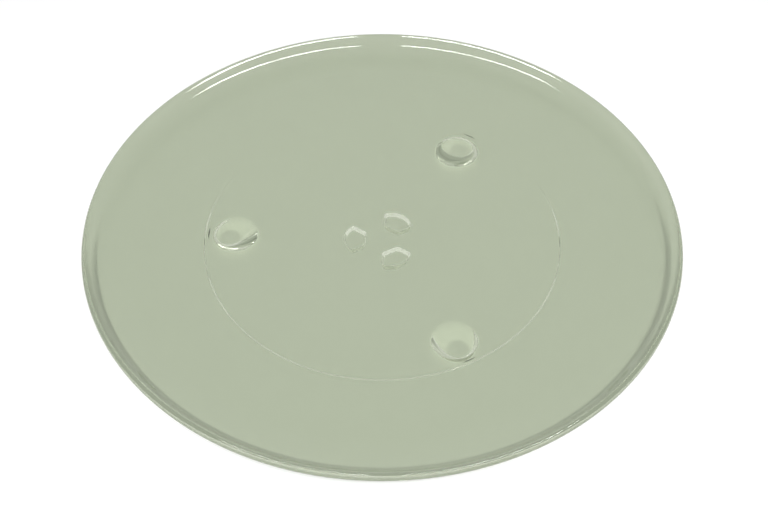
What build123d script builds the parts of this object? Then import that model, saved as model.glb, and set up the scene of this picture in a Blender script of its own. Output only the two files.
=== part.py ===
from build123d import *
from math import asin, atan2, cos, hypot, radians, sin, sqrt
import os

# Turntable plate of a microwave oven, pressed from glass in one piece.
# Millimetres, +Z up. The origin is on the plate's axis, in the plane that the three feet stand on.

# Outside of the plate
overall_diameter = 345.0
foot_height = 6.0            # from the plane it stands on to the underside of the middle
floor_thickness = 5.0        # glass in the middle, from underside to floor

# Roller track: outside this ring the underside is set up a little, and the rollers run there
track_inner_diameter = 206.0
track_recess = 0.5

# Flare: the shallow wall round the floor, an arc that steepens outwards
flare_run = 18.8             # radial width, from the edge of the floor to the foot of the rim
flare_start_angle = 8.0
flare_end_angle = 18.5
flare_thickness = 4.2

# Rim: the last few millimetres, turned up more steeply and ending in a full round
rim_width = 7.7              # radial, from the foot of its inner face to the outside
rim_rise = 3.3               # from the foot of its inner face to its crest
rim_edge_diameter = 4.0
rim_toe_radius = 5.0
rim_heel_radius = 5.0

# Three lugs, which the arms of the drive coupler push against, and three feet, in line with them
copies = 3
first_angle = 180.0

lug_inner_distance = 9.6     # from the axis to the flat inner face
lug_inner_width = 9.9
lug_depth = 12.7             # radial, from the inner face to the top of the curved outer end
lug_flank_angle = 30.0       # each flank opens outwards by this from the radial line
lug_flank_length = 9.0
lug_height = 5.2
lug_draft = 12.0
lug_inner_corner_radius = 1.2
lug_outer_corner_radius = 2.6
lug_tip_radius = 0.9

foot_distance = 85.3         # from the axis to the middle of the foot where it leaves the plate
foot_diameter = 26.0
foot_tip_diameter = 7.4
foot_lean = 5.0              # its flat tip lies this much further out than its middle
foot_wall_angle = 52.0       # steepness of the dome where it leaves the plate
foot_sections = 4

# Heights and radii that follow from these
outer_radius = overall_diameter / 2
toe_radius = outer_radius - rim_width
floor_radius = toe_radius - flare_run
middle_underside = foot_height
track_underside = foot_height + track_recess
floor_level = foot_height + floor_thickness
flare_radius = flare_run / (sin(radians(flare_end_angle)) - sin(radians(flare_start_angle)))


def on_flare(angle, depth=0.0):
    """Point of the flare's arc where its slope is the given angle, some depth under its top."""
    centre_r = floor_radius - flare_radius * sin(radians(flare_start_angle))
    centre_z = floor_level + flare_radius * cos(radians(flare_start_angle))
    radius = flare_radius + depth
    return centre_r + radius * sin(radians(angle)), centre_z - radius * cos(radians(angle))


crest_level = on_flare(flare_end_angle)[1] + rim_rise


def edge_tangent(start, side):
    """Where a straight line from a point touches the round edge of the rim, above it or below it."""
    radius = rim_edge_diameter / 2
    centre_r = outer_radius - radius
    centre_z = crest_level - radius
    away = hypot(centre_r - start[0], centre_z - start[1])
    slope = atan2(centre_z - start[1], centre_r - start[0]) + side * asin(radius / away)
    return centre_r - side * radius * sin(slope), centre_z + side * radius * cos(slope)


def plate_section():
    """Half section of the plate as radius and height, for one turn about the axis."""
    toe = on_flare(flare_end_angle)
    middle_of_flare = on_flare((flare_start_angle + flare_end_angle) / 2)
    heel = on_flare(flare_end_angle, flare_thickness)

    # The underside of the flare starts where its arc comes down to the level of the roller track.
    centre_r, centre_z = on_flare(0, -flare_radius)
    reach = flare_radius + flare_thickness
    track_outer_radius = centre_r + sqrt(reach**2 - (centre_z - track_underside) ** 2)
    track_inner_radius = track_inner_diameter / 2

    # Both faces of the rim run straight to its round edge and touch it.
    above = edge_tangent(toe, 1)
    below = edge_tangent(heel, -1)

    with BuildSketch(Plane.XZ) as section:
        with BuildLine():
            Polyline(
                (floor_radius, floor_level),
                (0, floor_level),
                (0, middle_underside),
                (track_inner_radius, middle_underside),
                (track_inner_radius + track_recess, track_underside),
                (track_outer_radius, track_underside),
            )
            RadiusArc((track_outer_radius, track_underside), heel, -reach)
            Line(heel, below)
            ThreePointArc(below, (outer_radius, crest_level - rim_edge_diameter / 2), above)
            Line(above, toe)
            ThreePointArc(toe, middle_of_flare, (floor_radius, floor_level))
        make_face()
        round_off(section, heel, rim_heel_radius)
        round_off(section, toe, rim_toe_radius)
    return section.sketch


def round_off(section, corner, radius):
    """Rounds the corner of the section that lies at the given radius and height."""
    nearest = section.vertices().sort_by_distance(Vector(*corner))[0]
    fillet(nearest, radius)


def lug_outline():
    """A lug seen from below, with +X pointing away from the plate's axis."""
    half = lug_inner_width / 2
    shoulder_x = lug_inner_distance + lug_flank_length * cos(radians(lug_flank_angle))
    shoulder_y = half + lug_flank_length * sin(radians(lug_flank_angle))
    with BuildSketch() as outline:
        with BuildLine():
            Polyline(
                (shoulder_x, -shoulder_y),
                (lug_inner_distance, -half),
                (lug_inner_distance, half),
                (shoulder_x, shoulder_y),
            )
            ThreePointArc(
                (shoulder_x, shoulder_y),
                (lug_inner_distance + lug_depth, 0),
                (shoulder_x, -shoulder_y),
            )
        make_face()
        corners = outline.vertices().sort_by(Axis.X)
        fillet(corners[:2], lug_inner_corner_radius)
        corners = outline.vertices().sort_by(Axis.X)
        fillet(corners[-2:], lug_outer_corner_radius)
    return outline.sketch


def drive_lug():
    """One lug, hanging from the underside and narrowing downwards by its draft."""
    root = Pos(0, 0, middle_underside) * lug_outline()
    lug = extrude(root, amount=lug_height, dir=(0, 0, -1), taper=lug_draft)
    return fillet(lug.faces().sort_by(Axis.Z)[0].edges(), lug_tip_radius)


def foot():
    """One foot, a dome with a flat tip, lofted through circles that move outwards on the way down."""
    root_angle = radians(90 - foot_wall_angle)
    circles = []
    for step in range(foot_sections):
        angle = root_angle + (radians(90) - root_angle) * step / (foot_sections - 1)
        down = (sin(angle) - sin(root_angle)) / (1 - sin(root_angle))
        narrowing = cos(angle) / cos(root_angle)
        radius = (foot_tip_diameter + (foot_diameter - foot_tip_diameter) * narrowing) / 2
        centre = foot_distance + foot_lean * down
        circles.append(Pos(centre, 0, foot_height * (1 - down)) * Circle(radius))
    return loft(circles)


def turntable_plate():
    """The whole plate as one solid."""
    plate = revolve(plate_section(), Axis.Z)
    for turn in range(copies):
        place = Rot(0, 0, first_angle + turn * 360 / copies)
        plate += place * drive_lug()
        plate += place * foot()
    return plate


os.makedirs("parts", exist_ok=True)
export_step(turntable_plate(), "parts/turntable_plate.step")
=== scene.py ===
# %% [markdown]
# # A glass turntable plate from a microwave oven
#
# The real thing is one piece of pressed glass. A gob of hot glass is squeezed between two moulds, and
# the edge is then softened in a flame. So there is nothing to assemble: one closed skin with glass
# inside is the whole model, and the whole look comes from how light goes in, bends and comes out.
#
# The frame holds the plate as an engineering solid. This lesson builds the same form again as a finer
# skin, because clear glass shows every flat facet, and then gives it its finish, a floor and light.

# %% The frame, with the plate at its real size
from math import acos, asin, atan2, cos, degrees, hypot, pi, radians, sin, tan

import bmesh
import bpy
from mathutils import Matrix, Vector


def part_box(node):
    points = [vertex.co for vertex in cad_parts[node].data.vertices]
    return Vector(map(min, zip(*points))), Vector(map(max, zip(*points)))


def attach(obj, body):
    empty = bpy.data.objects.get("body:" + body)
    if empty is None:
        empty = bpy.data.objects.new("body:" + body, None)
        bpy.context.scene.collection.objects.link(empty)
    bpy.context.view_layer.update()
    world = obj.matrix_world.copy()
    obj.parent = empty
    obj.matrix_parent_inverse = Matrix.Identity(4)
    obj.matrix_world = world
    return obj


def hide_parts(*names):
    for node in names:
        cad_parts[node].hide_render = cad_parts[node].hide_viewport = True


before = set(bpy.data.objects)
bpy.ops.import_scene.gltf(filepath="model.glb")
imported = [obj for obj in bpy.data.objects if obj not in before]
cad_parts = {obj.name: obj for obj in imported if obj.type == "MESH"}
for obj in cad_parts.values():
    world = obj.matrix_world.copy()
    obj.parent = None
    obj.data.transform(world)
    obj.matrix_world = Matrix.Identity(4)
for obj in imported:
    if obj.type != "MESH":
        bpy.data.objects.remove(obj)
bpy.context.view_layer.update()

MM = 0.001
low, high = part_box("turntable_plate")
outer_radius = (high.x - low.x) / 2
print("plate", round((high.x - low.x) / MM, 1), "mm across,", round((high.z - low.z) / MM, 1), "mm high")

# %% [markdown]
# ## Sizes of the section
#
# A plate is a body of revolution, so one half section says almost everything: a flat floor, a flare
# that steepens outwards, and a rim turned up steeply that ends in a round edge. The track is a flat
# ring under the plate, set up a little, where the rollers run. These are the sizes that a mould maker
# would read from a drawing. All else is worked out from them.
#
# Just inside the round edge there is a gentler shoulder, left by the flame. It decides how wide the
# bright line along the rim is: the flatter a curve, the wider the mirror image of a lamp in it.

# %% Sizes of the section
foot_height = 6.0 * MM
floor_thickness = 5.0 * MM
floor_edge_radius = 1.5 * MM
track_inner_radius = 103.0 * MM
track_recess = 0.5 * MM
track_edge_radius = 0.35 * MM
flare_run = 18.8 * MM
flare_start = radians(8)
flare_end = radians(18.5)
flare_thickness = 4.2 * MM
rim_width = 7.7 * MM
rim_rise = 3.3 * MM
rim_edge_radius = 2.0 * MM
rim_shoulder_radius = 10.0 * MM
rim_shoulder_slope = radians(20)
rim_toe_radius = 6.5 * MM
rim_heel_radius = 5.0 * MM

floor_level = foot_height + floor_thickness
track_level = foot_height + track_recess
toe_radius = outer_radius - rim_width
floor_radius = toe_radius - flare_run
flare_radius = flare_run / (sin(flare_end) - sin(flare_start))
print("floor", round(2 * floor_radius / MM, 1), "mm across, flare arc radius", round(flare_radius / MM, 1))

# %% [markdown]
# ## The skin of revolution
#
# The section is drawn as a chain of corners and then turned once round the axis with *spin*. Real
# glass has no sharp corner anywhere, so each corner is first rounded with a *vertex bevel*. It could
# also be done after the spin, by bevelling rings of edges, but a chain of a few dozen points is far
# easier to read and to change than a mesh.
#
# A vertex bevel needs to know how far from the corner it starts. For an arc of a given radius this
# *setback* is the radius times the tangent of half the turn.

# %% A chain of edges, and corners rounded by a vertex bevel
CORNER_SEGMENTS = 7


def chain(bm, spots, closed=False):
    """Points at these spots, joined by a chain of edges."""
    verts = [bm.verts.new(spot) for spot in spots]
    following = verts[1:] + verts[:1] if closed else verts[1:]
    return verts, [bm.edges.new(pair) for pair in zip(verts, following)]


def corner_setback(before, corner, after, radius):
    """How far from the corner an arc of this radius meets its two sides."""
    turn = (corner - before).angle(after - corner)
    return radius * tan(turn / 2)


def rounded_chain(bm, corners):
    """A chain of edges through (radius, height, rounding) corners, each rounded by its own arc."""
    spots = [Vector((r, 0, z)) for r, z, rounding in corners]
    verts, edges = chain(bm, spots)
    for i, (r, z, rounding) in enumerate(corners):
        if rounding > 0:
            bmesh.ops.bevel(
                bm, geom=[verts[i]], affect="VERTICES", segments=CORNER_SEGMENTS, profile=0.5, material=-1,
                offset=corner_setback(spots[i - 1], spots[i], spots[i + 1], rounding), offset_type="OFFSET",
            )
    print("chain of", len(corners), "corners became", len(bm.verts), "points")


# %% [markdown]
# ## Arcs that meet without a kink
#
# The section is made of arcs and of straight lines that touch them. A point of an arc is found from
# the arc's slope there, since two arcs meet without a kink where they have the same slope. The rim's
# face is the straight line from the toe that touches the shoulder, and the shoulder's arc touches the
# round edge in turn, because both centres lie on one line through the point where they meet.

# %% Points of arcs, and lines that touch them
def on_arc(centre, radius, slope):
    """Point of an arc, seen from its centre straight down at slope 0 and outwards at a right angle."""
    return centre[0] + radius * sin(slope), centre[1] - radius * cos(slope)


def arc_points(centre, radius, start, end, steps):
    """Corners without rounding along an arc, from one slope to the other."""
    slopes = [start + (end - start) * k / steps for k in range(steps + 1)]
    return [(*on_arc(centre, radius, slope), 0) for slope in slopes]


def tangent_slope(start, centre, radius, side):
    """Slope of the straight line from a point that touches a round above (1) or below (-1)."""
    away_r, away_z = centre[0] - start[0], centre[1] - start[1]
    return atan2(away_z, away_r) + side * asin(radius / hypot(away_r, away_z))


flare_centre = (
    floor_radius - flare_radius * sin(flare_start),
    floor_level + flare_radius * cos(flare_start),
)
toe = on_arc(flare_centre, flare_radius, flare_end)
heel = on_arc(flare_centre, flare_radius + flare_thickness, flare_end)
crest_level = toe[1] + rim_rise
print("toe and heel of the rim:", [round(size / MM, 2) for size in (*toe, *heel)])

# %% The two rounds of the rim
edge_centre = (outer_radius - rim_edge_radius, crest_level - rim_edge_radius)
shoulder_centre = on_arc(edge_centre, rim_shoulder_radius - rim_edge_radius, rim_shoulder_slope)
edge_round = (edge_centre, rim_edge_radius)
shoulder_round = (shoulder_centre, rim_shoulder_radius)

edge_start = tangent_slope(heel, *edge_round, -1)
edge_end = pi + rim_shoulder_slope
rim_face_slope = tangent_slope(toe, *shoulder_round, 1)
print("crest at", round(crest_level / MM, 2), "mm, rim face at", round(degrees(rim_face_slope), 1), "degrees")

# %% The section, from the underside of the middle out and round to the floor
FLARE_STEPS = 16
EDGE_STEPS = 20
SHOULDER_STEPS = 8
FLAT_BESIDE = 2 * MM    # flat that the outermost corners need on their other side

under_reach = flare_radius + flare_thickness
under_start = acos((flare_centre[1] - track_level) / under_reach)
section = [
    (track_inner_radius - FLAT_BESIDE, foot_height, 0),
    (track_inner_radius, foot_height, track_edge_radius),
    (track_inner_radius + track_recess, track_level, track_edge_radius),
    *arc_points(flare_centre, under_reach, under_start, flare_end, FLARE_STEPS)[:-1],
    (*heel, rim_heel_radius),
    *arc_points(*edge_round, edge_start, edge_end, EDGE_STEPS)[:-1],
    *arc_points(*shoulder_round, edge_end, pi + rim_face_slope, SHOULDER_STEPS),
    (*toe, rim_toe_radius),
    *arc_points(flare_centre, flare_radius, flare_end, flare_start, FLARE_STEPS)[1:-1],
    (floor_radius, floor_level, floor_edge_radius),
    (floor_radius - FLAT_BESIDE, floor_level, 0),
]
print("section of", len(section), "corners")

# %% The chain turned once round the axis
SPIN_STEPS = 288
MERGE_DISTANCE = 1e-7

plate = bmesh.new()
rounded_chain(plate, section)
bmesh.ops.spin(
    plate, geom=plate.verts[:] + plate.edges[:], cent=(0, 0, 0), axis=(0, 0, 1),
    angle=2 * pi, steps=SPIN_STEPS, use_merge=True, use_duplicate=False,
)
bmesh.ops.remove_doubles(plate, verts=plate.verts, dist=MERGE_DISTANCE)
print("skin of revolution:", len(plate.faces), "faces")

# %% [markdown]
# ## The flat floor
#
# The spin leaves two round holes, one over the other. The upper one is the floor that food stands on,
# and it is truly flat, so a single round face closes it without any shading trouble.

# %% The floor closed by one face
LEVEL_TOLERANCE = 1e-6


def edges_at(bm, level):
    """Edges that lie at this height."""
    return [edge for edge in bm.edges if all(abs(v.co.z - level) < LEVEL_TOLERANCE for v in edge.verts)]


def open_edges_at(bm, level):
    """Edges at this height with a face on one side only."""
    return [edge for edge in edges_at(bm, level) if edge.is_boundary]


bmesh.ops.contextual_create(plate, geom=open_edges_at(plate, floor_level))
print("open edges left:", sum(edge.is_boundary for edge in plate.edges))

# %% [markdown]
# ## Tools for what stands out under the plate
#
# Lugs and feet are both made from one flat face at the level of the underside. It is sunk to make the
# walls and the tip. Its outer edge is then drawn out to a flat ring, so that the root has something
# to be bevelled against, and the ring later joins the underside.

# %% Helpers for lugs and feet
SIDE_SEGMENTS = 5
ROOT_RING = 1.25
FLAT_ENOUGH = 0.1    # radians, below which two faces count as one flat


def soften(bm, edges, radius):
    """Rounds edges with a bevel. All of them have to turn by about a right angle."""
    bmesh.ops.bevel(
        bm, geom=edges, affect="EDGES", offset=radius, offset_type="OFFSET",
        segments=SIDE_SEGMENTS, profile=0.5, material=-1, clamp_overlap=True,
    )


def sink(bm, face, narrowing, depth):
    """Sinks a face by this depth and makes it smaller by this much all round."""
    bmesh.ops.inset_region(
        bm, faces=[face], thickness=narrowing, depth=depth, use_boundary=True, use_even_offset=True,
    )


def draw_out_ring(bm, centre):
    """Draws the open edge at the underside's level out to a flat ring."""
    drawn = bmesh.ops.extrude_edge_only(bm, edges=open_edges_at(bm, foot_height))
    outer = [item for item in drawn["geom"] if isinstance(item, bmesh.types.BMVert)]
    bmesh.ops.scale(bm, vec=(ROOT_RING, ROOT_RING, 1), verts=outer, space=Matrix.Translation(-centre))


def root_edges(bm):
    """Edges at the underside's level between the flat ring and the walls."""
    level = [edge for edge in edges_at(bm, foot_height) if not edge.is_boundary]
    return [edge for edge in level if edge.calc_face_angle() > FLAT_ENOUGH]


print("ring round a root:", round((ROOT_RING - 1) * 100), "percent wider than the root")

# %% [markdown]
# ## Three drive lugs
#
# In the oven a small coupler with three arms turns the plate. Its arms push against three wedges under
# the middle. Each wedge has a flat face towards the axis, two flanks that open outwards and a curved
# outer end. Its walls lean in, so that the glass comes out of the mould, and every edge is soft.
#
# The outline is a closed chain, filled to one face. An *inset* with depth sinks it, and the width of
# the inset is the lean of the walls. Corners, tip and root are then rounded in turn. An *extrude* with
# a *scale* would lean all walls towards one centre instead, which is not how a mould is cut.

# %% Sizes of the lugs
copies = 3
first_angle = radians(180)
lug_inner_distance = 9.6 * MM
lug_half_width = 4.95 * MM
lug_depth = 12.7 * MM
lug_flank = radians(30)
lug_flank_length = 9.0 * MM
lug_height = 5.2 * MM
lug_draft = radians(12)
lug_inner_corner = 1.2 * MM
lug_outer_corner = 2.6 * MM
lug_tip_radius = 0.9 * MM
lug_root_radius = 0.7 * MM
print("lugs reach", round((lug_inner_distance + lug_depth) / MM, 1), "mm from the axis")

# %% The outline of a lug
LUG_ARC_STEPS = 14


def lug_outline():
    """The lug's outline at the underside: the flat inner face, two flanks and the curved outer end."""
    shoulder_x = lug_inner_distance + lug_flank_length * cos(lug_flank)
    shoulder_y = lug_half_width + lug_flank_length * sin(lug_flank)
    bulge = lug_inner_distance + lug_depth - shoulder_x
    arc_radius = (shoulder_y**2 + bulge**2) / (2 * bulge)
    centre_x = lug_inner_distance + lug_depth - arc_radius
    half_arc = Vector((shoulder_x - centre_x, shoulder_y)).angle(Vector((1, 0)))
    turns = [half_arc - 2 * half_arc * k / LUG_ARC_STEPS for k in range(LUG_ARC_STEPS + 1)]
    arc = [Vector((centre_x + arc_radius * cos(a), arc_radius * sin(a), foot_height)) for a in turns]
    inner = [Vector((lug_inner_distance, side * lug_half_width, foot_height)) for side in (-1, 1)]
    return inner + arc


def walls_at(bm, corners):
    """The steep edges that come down from these corners of the outline."""
    steep = [edge for edge in bm.edges if abs(edge.verts[0].co.z - edge.verts[1].co.z) > lug_height / 2]
    return [
        edge for edge in steep
        if any((v.co - corner).length < LEVEL_TOLERANCE for v in edge.verts for corner in corners)
    ]


print("lug outline of", len(lug_outline()), "points")

# %% One lug
def make_lug():
    """One lug as an open skin, with a flat ring round its root."""
    bm = bmesh.new()
    outline = lug_outline()
    verts, edges = chain(bm, outline, closed=True)
    tip = bmesh.ops.contextual_create(bm, geom=edges)["faces"][0]
    tip.normal_update()
    if tip.normal.z > 0:
        tip.normal_flip()
    sink(bm, tip, lug_height * tan(lug_draft), lug_height)
    draw_out_ring(bm, sum(outline, Vector()) / len(outline))
    soften(bm, walls_at(bm, outline[:2]), lug_inner_corner)
    soften(bm, walls_at(bm, [outline[2], outline[-1]]), lug_outer_corner)
    soften(bm, edges_at(bm, foot_height - lug_height), lug_tip_radius)
    soften(bm, root_edges(bm), lug_root_radius)
    print("lug:", len(bm.faces), "faces")
    return bm


lug = make_lug()

# %% [markdown]
# ## Three feet
#
# Off the oven the plate stands on three low domes. Each is a round bump whose small flat tip lies a
# little further out than its middle, as the bright and dark sides of the real ones show.
#
# A dome could be a squashed sphere, but its tip would then sit in the middle. Here a round face is
# inset and sunk step by step, and moved outwards a little each time, which leans the whole dome.

# %% Sizes of the feet
foot_distance = 85.3 * MM
foot_radius = 13.0 * MM
foot_tip_radius = 3.7 * MM
foot_lean = 5.0 * MM
foot_wall_angle = radians(52)
foot_root_radius = 1.5 * MM
print("foot tips on a circle of", round(2 * (foot_distance + foot_lean) / MM, 1), "mm")

# %% One foot
FOOT_SEGMENTS = 72
FOOT_STEPS = 16


def dome(step):
    """Radius, depth and outward shift of the dome's circle at one step from root to tip."""
    root_angle = radians(90) - foot_wall_angle
    angle = root_angle + (radians(90) - root_angle) * step / FOOT_STEPS
    down = (sin(angle) - sin(root_angle)) / (1 - sin(root_angle))
    narrowing = cos(angle) / cos(root_angle)
    return foot_tip_radius + (foot_radius - foot_tip_radius) * narrowing, foot_height * down, foot_lean * down


def make_foot():
    """One foot as an open skin, with a flat ring round its root."""
    bm = bmesh.new()
    middle = Vector((foot_distance, 0, foot_height))
    place = Matrix.Translation(middle)
    bmesh.ops.create_circle(bm, cap_ends=True, radius=foot_radius, segments=FOOT_SEGMENTS, matrix=place)
    tip = bm.faces[:][0]
    if tip.normal.z > 0:
        tip.normal_flip()
    for step in range(FOOT_STEPS):
        radius, down, shift = dome(step)
        next_radius, next_down, next_shift = dome(step + 1)
        sink(bm, tip, radius - next_radius, next_down - down)
        bmesh.ops.translate(bm, verts=tip.verts, vec=(next_shift - shift, 0, 0))
    draw_out_ring(bm, middle)
    soften(bm, root_edges(bm), foot_root_radius)
    print("foot:", len(bm.faces), "faces")
    return bm


foot = make_foot()

# %% [markdown]
# ## Lugs and feet set into the underside
#
# The three lugs and three feet stand at even angles. Their flat rings lie in the plane of the
# underside, so the rest of that plane is one flat sheet with six holes, and *triangle fill* closes it
# edge to edge. A boolean union would work too, but here nothing has to be cut, and the skin stays clean.

# %% Copies at even angles, and the sheet between them
for feature in (lug, foot):
    mesh = bpy.data.meshes.new("feature")
    feature.to_mesh(mesh)
    feature.free()
    for turn in range(copies):
        mesh.transform(Matrix.Rotation(first_angle if turn == 0 else 2 * pi / copies, 4, "Z"))
        plate.from_mesh(mesh)
    bpy.data.meshes.remove(mesh)

bmesh.ops.triangle_fill(plate, edges=open_edges_at(plate, foot_height), use_beauty=True, normal=(0, 0, -1))
bmesh.ops.remove_doubles(plate, verts=plate.verts, dist=MERGE_DISTANCE)
bmesh.ops.recalc_face_normals(plate, faces=plate.faces)
loose = [edge for edge in plate.edges if not edge.is_manifold]
print("whole skin:", len(plate.faces), "faces, edges that aren't closed:", len(loose))
print("glass volume:", round(plate.calc_volume() / MM**3 / 1000, 1), "cubic centimetres")

# %% [markdown]
# ## Shading of flat and round
#
# Smooth shading blends the slope of neighbouring faces. On a big flat face next to a small bevel that
# would bend the light over the whole flat. *Weighted normals* let the larger face win at each shared
# corner, so that flats stay flat and all the bending stays in the bevels.

# %% The mesh as an object
LARGER_FACE_WINS = 60

plate_mesh = bpy.data.meshes.new("turntable_plate_skin")
plate.to_mesh(plate_mesh)
plate.free()
plate_mesh.shade_smooth()
glass_plate = bpy.data.objects.new("glass_plate", plate_mesh)
bpy.context.scene.collection.objects.link(glass_plate)
weighted = glass_plate.modifiers.new("weighted_normals", "WEIGHTED_NORMAL")
weighted.mode = "FACE_AREA"
weighted.weight = LARGER_FACE_WINS
weighted.keep_sharp = False
print("mesh:", len(plate_mesh.vertices), "points,", len(plate_mesh.polygons), "faces")

# %% [markdown]
# ## The waves of a pressed surface
#
# Glass that was pressed isn't as even as window glass. Its faces have very low and broad waves, which
# make straight reflections waver a little. A *noise texture* read as a height by a *bump* node does
# this well. Moving real points up and down would need far more faces for the same look.

# %% Waves
WAVES_PER_METRE = 30
WAVE_HEIGHT = 0.08 * MM


def waves(tree, place):
    """The direction of a surface that has low broad waves."""
    noise = tree.nodes.new("ShaderNodeTexNoise")
    noise.inputs["Scale"].default_value = WAVES_PER_METRE
    noise.inputs["Detail"].default_value = 1.0
    tree.links.new(place, noise.inputs["Vector"])
    bump = tree.nodes.new("ShaderNodeBump")
    bump.inputs["Distance"].default_value = WAVE_HEIGHT
    tree.links.new(noise.outputs["Fac"], bump.inputs["Height"])
    return bump.outputs["Normal"]


print("waves about", round(1000 / WAVES_PER_METRE), "mm long and", WAVE_HEIGHT / MM, "mm high")

# %% [markdown]
# ## The tint, and painted light and shade for light that is trapped
#
# The glass has a pale sage tint over white. The colour of a *Principled* shader with full transmission
# is the share of light that is left after a way in and a way out, so a plain colour suits most of the
# plate. But some light leaves a lug and enters the glass again, or is mirrored inside many times. Each
# crossing would take its share, and lugs and ring would be drawn in black. Real ones are lined with
# light, and here that light is painted.
#
# So later crossings take their tint from a *colour ramp* over the distance from the axis. It is painted
# light and shade: lightest at the lugs and at the ring, which paints light along their outlines, lighter
# at the feet, and darkest at flare and rim, which paints shade in the rim. The ramp's alpha says how
# much of it counts at each distance. Object coordinates give that distance, so the tint would ride with
# the plate if it were moved.

# %% Tints, and the ramp of painted light and shade over the distance from the axis
GLASS_TINT = (0.434, 0.480, 0.361, 1)
PAINTED_LIGHT_TINT = (0.97, 0.98, 0.94, 1)
FEET_PAINTED_LIGHT_TINT = (0.80, 0.82, 0.75, 0.9)
RIM_PAINTED_SHADE_TINT = (0.46, 0.50, 0.41, 0)
# Painted light and shade: later crossings are lighter than the glass's tint at lugs, ring and feet, and
# darker at flare and rim.
PAINTED_LIGHT_AND_SHADE_STOPS = (
    (0, PAINTED_LIGHT_TINT), (50 * MM, PAINTED_LIGHT_TINT),              # lugs
    (60 * MM, FEET_PAINTED_LIGHT_TINT), (100 * MM, FEET_PAINTED_LIGHT_TINT),           # feet
    (101 * MM, PAINTED_LIGHT_TINT), (106 * MM, PAINTED_LIGHT_TINT),      # ring
    (108 * MM, RIM_PAINTED_SHADE_TINT), (outer_radius, RIM_PAINTED_SHADE_TINT),      # flare and rim
)


def distance_from_axis(tree, place):
    """How far a place is from the plate's axis, in metres."""
    flat = tree.nodes.new("ShaderNodeVectorMath")
    flat.operation = "MULTIPLY"
    flat.inputs[1].default_value = (1, 1, 0)
    tree.links.new(place, flat.inputs[0])
    distance = tree.nodes.new("ShaderNodeVectorMath")
    distance.operation = "LENGTH"
    tree.links.new(flat.outputs[0], distance.inputs[0])
    return distance.outputs["Value"]


def painted_light_and_shade_ramp(tree, distance):
    """The ramp of painted light and shade for light that stays in the glass for long: light at lugs, ring and
    feet, dark at the rim.
    """
    share = tree.nodes.new("ShaderNodeMapRange")
    share.inputs["From Max"].default_value = outer_radius
    tree.links.new(distance, share.inputs["Value"])
    ramp = tree.nodes.new("ShaderNodeValToRGB")
    stops = ramp.color_ramp.elements
    while len(stops) < len(PAINTED_LIGHT_AND_SHADE_STOPS):
        stops.new(1.0)
    for stop, (radius, tint) in zip(stops, PAINTED_LIGHT_AND_SHADE_STOPS):
        stop.position = radius / outer_radius
        stop.color = tint
    tree.links.new(share.outputs["Result"], ramp.inputs["Fac"])
    return ramp


print("ramp of", len(PAINTED_LIGHT_AND_SHADE_STOPS), "stops over", round(outer_radius / MM, 1), "mm")

# %% [markdown]
# ## Helpers that make trees short
#
# Each of these adds one kind of node and gives back its result as a socket, so that a material can be
# read as a short list of steps. A number or a colour can be given wherever a socket can.

# %% Numbers, products and blends
FIRST_CROSSING = 1.5


def feed(tree, value, socket):
    """Gives a socket a link from another node, or a plain value."""
    if isinstance(value, bpy.types.NodeSocket):
        tree.links.new(value, socket)
    else:
        socket.default_value = value


def math_node(tree, operation, first, second=0.0):
    """The result of a Math node."""
    node = tree.nodes.new("ShaderNodeMath")
    node.operation = operation
    feed(tree, first, node.inputs[0])
    feed(tree, second, node.inputs[1])
    return node.outputs[0]


def all_of(tree, shares):
    """The product of some shares, so that it is one only where all of them are."""
    product = shares[0]
    for share in shares[1:]:
        product = math_node(tree, "MULTIPLY", product, share)
    return product


def blend(tree, share, first, second):
    """A colour between two others: the first where the share is 0, the second where it is 1."""
    mix = tree.nodes.new("ShaderNodeMix")
    mix.data_type = "RGBA"
    feed(tree, share, mix.inputs["Factor"])
    feed(tree, first, mix.inputs["A"])
    feed(tree, second, mix.inputs["B"])
    return mix.outputs["Result"]


def crossing_tint(tree, path, painted_ramp):
    """The glass's tint at the first crossing, and more of the ramp's painted light and shade at later ones.
    """
    later = math_node(tree, "GREATER_THAN", path.outputs["Transmission Depth"], FIRST_CROSSING)
    return blend(tree, all_of(tree, [later, painted_ramp.outputs["Alpha"]]), GLASS_TINT, painted_ramp.outputs["Color"])


print("one way in and out leaves", [round(part, 2) for part in GLASS_TINT[:3]], "of red, green and blue")

# %% [markdown]
# ## Shadows of clear glass
#
# Light from a lamp can't find its way through bending glass to the floor without a lot of noise. So for
# shadow rays alone the glass acts as a plain tinted sheet, which *Light Path* picks out. What the eye
# sees still bends.
#
# A plain sheet casts an even shade, but the real plate doesn't. The turned-up rim throws light aside
# and leaves a dark band under it, most where the light meets it at a slant, which *Layer Weight*
# tells. The domes of the feet work as weak lenses: they gather light on the floor under their walls,
# and their flat tips don't. Two masks change the sheet's tint at these places. Each is a product of
# soft steps, over the distance from the axis, the height, or how upright the face is.

# %% A soft step, and the mask of the rim
SHADOW_TINT = (0.93, 0.94, 0.92, 1)
RIM_SHADOW_TINT = (0.20, 0.22, 0.18, 1)
RIM_SHADOW_IN = (164.6 * MM, 167.0 * MM)
RIM_SHADOW_OUT = (171.2 * MM, 169.8 * MM)
RIM_SHADOW_SLANT = (0.25, 0.31)


def ramp_up(tree, value, start, end):
    """A soft step from 0 at the start to 1 at the end. The start may be the larger of the two."""
    ramp = tree.nodes.new("ShaderNodeMapRange")
    ramp.interpolation_type = "SMOOTHSTEP"
    ramp.inputs["From Min"].default_value = min(start, end)
    ramp.inputs["From Max"].default_value = max(start, end)
    ramp.inputs["To Min"].default_value = float(start > end)
    ramp.inputs["To Max"].default_value = float(start < end)
    feed(tree, value, ramp.inputs["Value"])
    return ramp.outputs["Result"]


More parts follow.
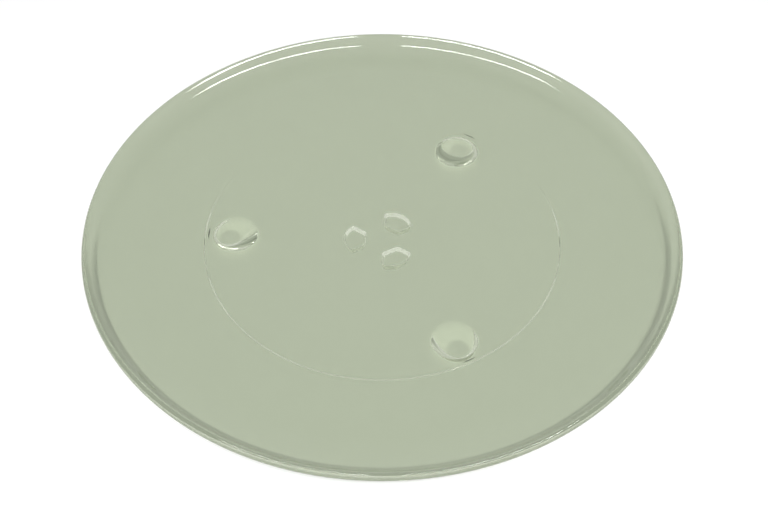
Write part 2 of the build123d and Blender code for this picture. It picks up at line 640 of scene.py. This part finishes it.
def rim_share(tree, distance):
    """Share of light that the rim throws aside."""
    facing = tree.nodes.new("ShaderNodeLayerWeight")
    facing.inputs["Blend"].default_value = 0.5
    return all_of(tree, [
        ramp_up(tree, distance, *RIM_SHADOW_IN),
        ramp_up(tree, distance, *RIM_SHADOW_OUT),
        ramp_up(tree, facing.outputs["Facing"], *RIM_SHADOW_SLANT),
    ])


print("rim's dark band:", round((RIM_SHADOW_OUT[0] - RIM_SHADOW_IN[0]) / MM, 1), "mm wide")

# %% The mask of the feet, and the tint of a shadow ray
FOOT_GATHER = (1.22, 1.23, 1.19, 1)
FOOT_NEAREST = (70 * MM, 71 * MM)
FOOT_FURTHEST = (100 * MM, 99 * MM)
FOOT_BELOW = (foot_height, foot_height - 0.1 * MM)
FOOT_UPRIGHT = (0.995, 0.94)


def height_of(tree, direction):
    """The upward part of a place or a direction."""
    apart = tree.nodes.new("ShaderNodeSeparateXYZ")
    tree.links.new(direction, apart.inputs[0])
    return apart.outputs["Z"]


def dome_share(tree, where, distance):
    """One on the sloped walls of the feet, none on their tips and on the rest of the plate."""
    upright = math_node(tree, "ABSOLUTE", height_of(tree, where.outputs["Normal"]))
    return all_of(tree, [
        ramp_up(tree, height_of(tree, where.outputs["Object"]), *FOOT_BELOW),
        ramp_up(tree, distance, *FOOT_NEAREST),
        ramp_up(tree, distance, *FOOT_FURTHEST),
        ramp_up(tree, upright, *FOOT_UPRIGHT),
    ])


def shadow_tint(tree, where, distance):
    """What a shadow ray keeps when it crosses the glass here."""
    sheet = blend(tree, rim_share(tree, distance), SHADOW_TINT, RIM_SHADOW_TINT)
    return blend(tree, dome_share(tree, where, distance), sheet, FOOT_GATHER)


print("under the feet each crossing gathers", round((FOOT_GATHER[1] - 1) * 100), "percent more light")

# %% [markdown]
# ## The glass put together
#
# The bending glass comes first. Then there are three ways out of it, each a *Mix Shader* that swaps the
# glass for a transparent sheet: for rays that were mirrored inside more than twice, which take the ramp's
# painted light and shade as their tint, for rays that bring soft light from matt things, and for shadow
# rays. The first also keeps the render short, as such a ray then goes straight on.

# %% The glass material
MANY_MIRRORINGS = 2.5
GLASS_IOR = 1.5


def bending_glass(tree, where, tint):
    """Clear glass with this tint and the waves of a pressed surface."""
    glass = tree.nodes.new("ShaderNodeBsdfPrincipled")
    glass.inputs["Roughness"].default_value = 0.0
    glass.inputs["IOR"].default_value = GLASS_IOR
    glass.inputs["Transmission Weight"].default_value = 1.0
    tree.links.new(tint, glass.inputs["Base Color"])
    tree.links.new(waves(tree, where.outputs["Object"]), glass.inputs["Normal"])
    return glass


def way_out(tree, shader, when, tint):
    """The shader, swapped for a sheet that lets light straight through where it is asked for."""
    sheet = tree.nodes.new("ShaderNodeBsdfTransparent")
    feed(tree, tint, sheet.inputs["Color"])
    mix = tree.nodes.new("ShaderNodeMixShader")
    tree.links.new(when, mix.inputs[0])
    tree.links.new(shader.outputs[0], mix.inputs[1])
    tree.links.new(sheet.outputs[0], mix.inputs[2])
    return mix


def glass_material():
    """Sage tinted clear glass."""
    material = bpy.data.materials.new("pressed_glass")
    material.use_nodes = True
    tree = material.node_tree
    tree.nodes.clear()
    where = tree.nodes.new("ShaderNodeTexCoord")
    path = tree.nodes.new("ShaderNodeLightPath")
    distance = distance_from_axis(tree, where.outputs["Object"])
    painted_ramp = painted_light_and_shade_ramp(tree, distance)
    shader = bending_glass(tree, where, crossing_tint(tree, path, painted_ramp))
    many = math_node(tree, "GREATER_THAN", path.outputs["Glossy Depth"], MANY_MIRRORINGS)
    # Rays mirrored many times take the ramp's painted light and shade: light at lugs and ring, shade at the
    # rim.
    shader = way_out(tree, shader, many, painted_ramp.outputs["Color"])
    shader = way_out(tree, shader, path.outputs["Is Diffuse Ray"], SHADOW_TINT)
    shader = way_out(tree, shader, path.outputs["Is Shadow Ray"], shadow_tint(tree, where, distance))
    out = tree.nodes.new("ShaderNodeOutputMaterial")
    tree.links.new(shader.outputs[0], out.inputs["Surface"])
    print("glass material of", len(tree.nodes), "nodes")
    return material


glass_plate.data.materials.append(glass_material())

# %% The plate takes its place in the frame
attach(glass_plate, "root")
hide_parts("turntable_plate")
print("dressed:", glass_plate.name)

# %% [markdown]
# ## The floor
#
# The floor is a plain matt sheet. It lies a hair below the feet, because two faces in one plane fight
# for each pixel, and the tips of the feet would show spots.
#
# What looks at the floor straight, in a mirror or through glass sees a faint glow on top of its own
# colour, so that it ends as pure white and still shows shadows. Nothing is lit by that glow. It grows
# outwards, where the lamps reach less, so that the floor stays white as far as it goes.

# %% The floor
FLOOR_HALF = 3.0
FLOOR_DROP = 0.1 * MM
FLOOR_COLOUR = (0.80, 0.80, 0.80, 1)
NEAR_LIFT = 0.15
FAR_LIFT = 0.95
LAMPS_REACH = (0.5, 2.2)


def looked_at(tree):
    """One for rays from the camera, mirrored or through glass, and none for rays that light things."""
    path = tree.nodes.new("ShaderNodeLightPath")
    direct = math_node(tree, "MAXIMUM", path.outputs["Is Camera Ray"], path.outputs["Is Glossy Ray"])
    return math_node(tree, "MAXIMUM", direct, path.outputs["Is Transmission Ray"])


def floor_lift(tree):
    """Strength of the floor's glow."""
    where = tree.nodes.new("ShaderNodeTexCoord")
    outwards = tree.nodes.new("ShaderNodeMapRange")
    outwards.inputs["From Min"].default_value, outwards.inputs["From Max"].default_value = LAMPS_REACH
    outwards.inputs["To Min"].default_value = NEAR_LIFT
    outwards.inputs["To Max"].default_value = FAR_LIFT
    tree.links.new(distance_from_axis(tree, where.outputs["Object"]), outwards.inputs["Value"])
    return all_of(tree, [looked_at(tree), outwards.outputs["Result"]])


def floor_material():
    """Matt white with a faint glow."""
    material = bpy.data.materials.new("pale_floor")
    material.use_nodes = True
    tree = material.node_tree
    tree.nodes.clear()
    matt = tree.nodes.new("ShaderNodeBsdfDiffuse")
    matt.inputs["Color"].default_value = FLOOR_COLOUR
    glow = tree.nodes.new("ShaderNodeEmission")
    tree.links.new(floor_lift(tree), glow.inputs["Strength"])
    both = tree.nodes.new("ShaderNodeAddShader")
    tree.links.new(matt.outputs[0], both.inputs[0])
    tree.links.new(glow.outputs[0], both.inputs[1])
    out = tree.nodes.new("ShaderNodeOutputMaterial")
    tree.links.new(both.outputs[0], out.inputs["Surface"])
    return material


floor_bm = bmesh.new()
bmesh.ops.create_grid(floor_bm, x_segments=1, y_segments=1, size=FLOOR_HALF)
bmesh.ops.translate(floor_bm, verts=floor_bm.verts, vec=(0, 0, -FLOOR_DROP))
floor_mesh = bpy.data.meshes.new("floor")
floor_bm.to_mesh(floor_mesh)
floor_bm.free()
floor = bpy.data.objects.new("floor", floor_mesh)
floor.data.materials.append(floor_material())
bpy.context.scene.collection.objects.link(floor)
print("floor", 2 * FLOOR_HALF, "m wide,", FLOOR_DROP / MM, "mm below the feet")

# %% [markdown]
# ## Lamps for shine and lamps for light
#
# Glass is seen by what it mirrors, and the matt floor by what falls on it. One lamp rarely suits both,
# so each soft lamp here is seen by one kind of ray only. Two long *shine* lamps hang a little behind
# the plate. They draw the two thin bright lines along the far side of the rim, with a break where the
# gap between the lamps is.
#
# Two others light what is matt. The *fill* lamp hangs over the plate and gives the even level. A small
# far lamp from the front is harder, and its shadow of the rim is the dark band along the near half.
# The shine lamps hang a little lower than the fill lamp, because of two lamps in one plane a ray may
# find only one.

# %% Soft lamps
def soft_box(name, place, aim, length, width, radiance, mirrored):
    """A soft lamp that looks at a point. It is either mirrored in the glass or lights what is matt."""
    light = bpy.data.lights.new(name, "AREA")
    light.shape = "RECTANGLE"
    light.size = length
    light.size_y = width
    light.energy = radiance * length * width * pi
    lamp = bpy.data.objects.new(name, light)
    lamp.location = place
    lamp.rotation_euler = (Vector(aim) - Vector(place)).to_track_quat("-Z", "Y").to_euler()
    lamp.visible_camera = False
    lamp.visible_glossy = mirrored
    lamp.visible_transmission = False
    lamp.visible_diffuse = not mirrored
    bpy.context.scene.collection.objects.link(lamp)
    print(name, "lamp:", round(light.energy, 1), "watts")


# %% Shine lamps
SHINE_RADIANCE = 34
SHINE_HEIGHT = 1.11
SHINE_MIDDLE_Y = 0.315
SHINE_LENGTH = 0.13

for side, middle_x, width in (("left", -0.19, 0.30), ("right", 0.22, 0.40)):
    place, aim = (middle_x, SHINE_MIDDLE_Y, SHINE_HEIGHT), (middle_x, SHINE_MIDDLE_Y, 0)
    soft_box("shine_" + side, place, aim, width, SHINE_LENGTH, SHINE_RADIANCE, mirrored=True)

# %% Fill lamp and front lamp
FILL_RADIANCE = 6.5
FILL_HEIGHT = 1.12
FILL_MIDDLE_Y = 0.15
FILL_WIDTH = 0.8
FILL_LENGTH = 0.45
FRONT_DISTANCE = 2.6
FRONT_ELEVATION = radians(57)
FRONT_AZIMUTH = radians(-84)
FRONT_SIZE = 0.24
FRONT_RADIANCE = 240

fill_place, fill_aim = (0, FILL_MIDDLE_Y, FILL_HEIGHT), (0, FILL_MIDDLE_Y, 0)
soft_box("fill", fill_place, fill_aim, FILL_WIDTH, FILL_LENGTH, FILL_RADIANCE, mirrored=False)
front_reach = FRONT_DISTANCE * cos(FRONT_ELEVATION)
front_place = (
    front_reach * cos(FRONT_AZIMUTH), front_reach * sin(FRONT_AZIMUTH), FRONT_DISTANCE * sin(FRONT_ELEVATION),
)
soft_box("front_lamp", front_place, (0, 0, 0), FRONT_SIZE, FRONT_SIZE, FRONT_RADIANCE, mirrored=False)

# %% [markdown]
# ## The sky
#
# An even white sky stands for the walls of the studio. As a light it is dim, so that shadows stay. To
# the camera and in the glass it is white, like the floor, so that the plate stands against white
# wherever it is looked at from.

# %% An even sky
SKY_LIGHT = 0.12
SKY_SEEN = 1.0

world = bpy.data.worlds.new("even_sky")
world.use_nodes = True
sky_tree = world.node_tree
sky = sky_tree.nodes["Background"]
sky.inputs["Color"].default_value = (1, 1, 1, 1)
levels = sky_tree.nodes.new("ShaderNodeMapRange")
levels.inputs["To Min"].default_value = SKY_LIGHT
levels.inputs["To Max"].default_value = SKY_SEEN
sky_tree.links.new(looked_at(sky_tree), levels.inputs["Value"])
sky_tree.links.new(levels.outputs["Result"], sky.inputs["Strength"])
bpy.context.scene.world = world
print("sky of", SKY_LIGHT, "as a light and", SKY_SEEN, "to the eye")

# %% [markdown]
# ## The camera
#
# The camera stands where the photograph was taken from: about five plate radii away, and looking down
# at a bit under 50 degrees. Its height, distance and lens were found by fitting the oval of the plate's
# edge, which is the surest line in a picture of a round thing.

# %% The camera
CAMERA_DISTANCE = 862.5 * MM
CAMERA_ELEVATION = radians(47.10)
CAMERA_TURN = radians(2.4)      # the plate is turned by this against the camera
CAMERA_TILT = radians(1.155)    # the middle of the picture lies this much below the plate's middle
CAMERA_PAN = radians(0.103)     # and this much to the right of it
CAMERA_LENS = 70.0

camera = bpy.data.objects.new("camera", bpy.data.cameras.new("camera"))
camera.data.lens = CAMERA_LENS
camera.data.sensor_width = 36
camera.data.clip_start = 0.01
aim = Vector((0, 0, crest_level))
stand = Vector((0, -cos(CAMERA_ELEVATION), sin(CAMERA_ELEVATION))) * CAMERA_DISTANCE
turn = Matrix.Rotation(CAMERA_TURN, 4, "Z")
pitch = CAMERA_ELEVATION + CAMERA_TILT
look = Vector((sin(CAMERA_PAN) * cos(pitch), cos(CAMERA_PAN) * cos(pitch), -sin(pitch)))
facing = (turn @ look).to_track_quat("-Z", "Y").to_matrix().to_4x4()
camera.matrix_world = Matrix.Translation(aim + turn @ stand) @ facing
bpy.context.scene.collection.objects.link(camera)
bpy.context.scene.camera = camera
bpy.context.scene.view_settings.view_transform = "Standard"
camera_place = [round(part, 3) for part in camera.matrix_world.translation]
print("camera at", camera_place, "with a", CAMERA_LENS, "mm lens")
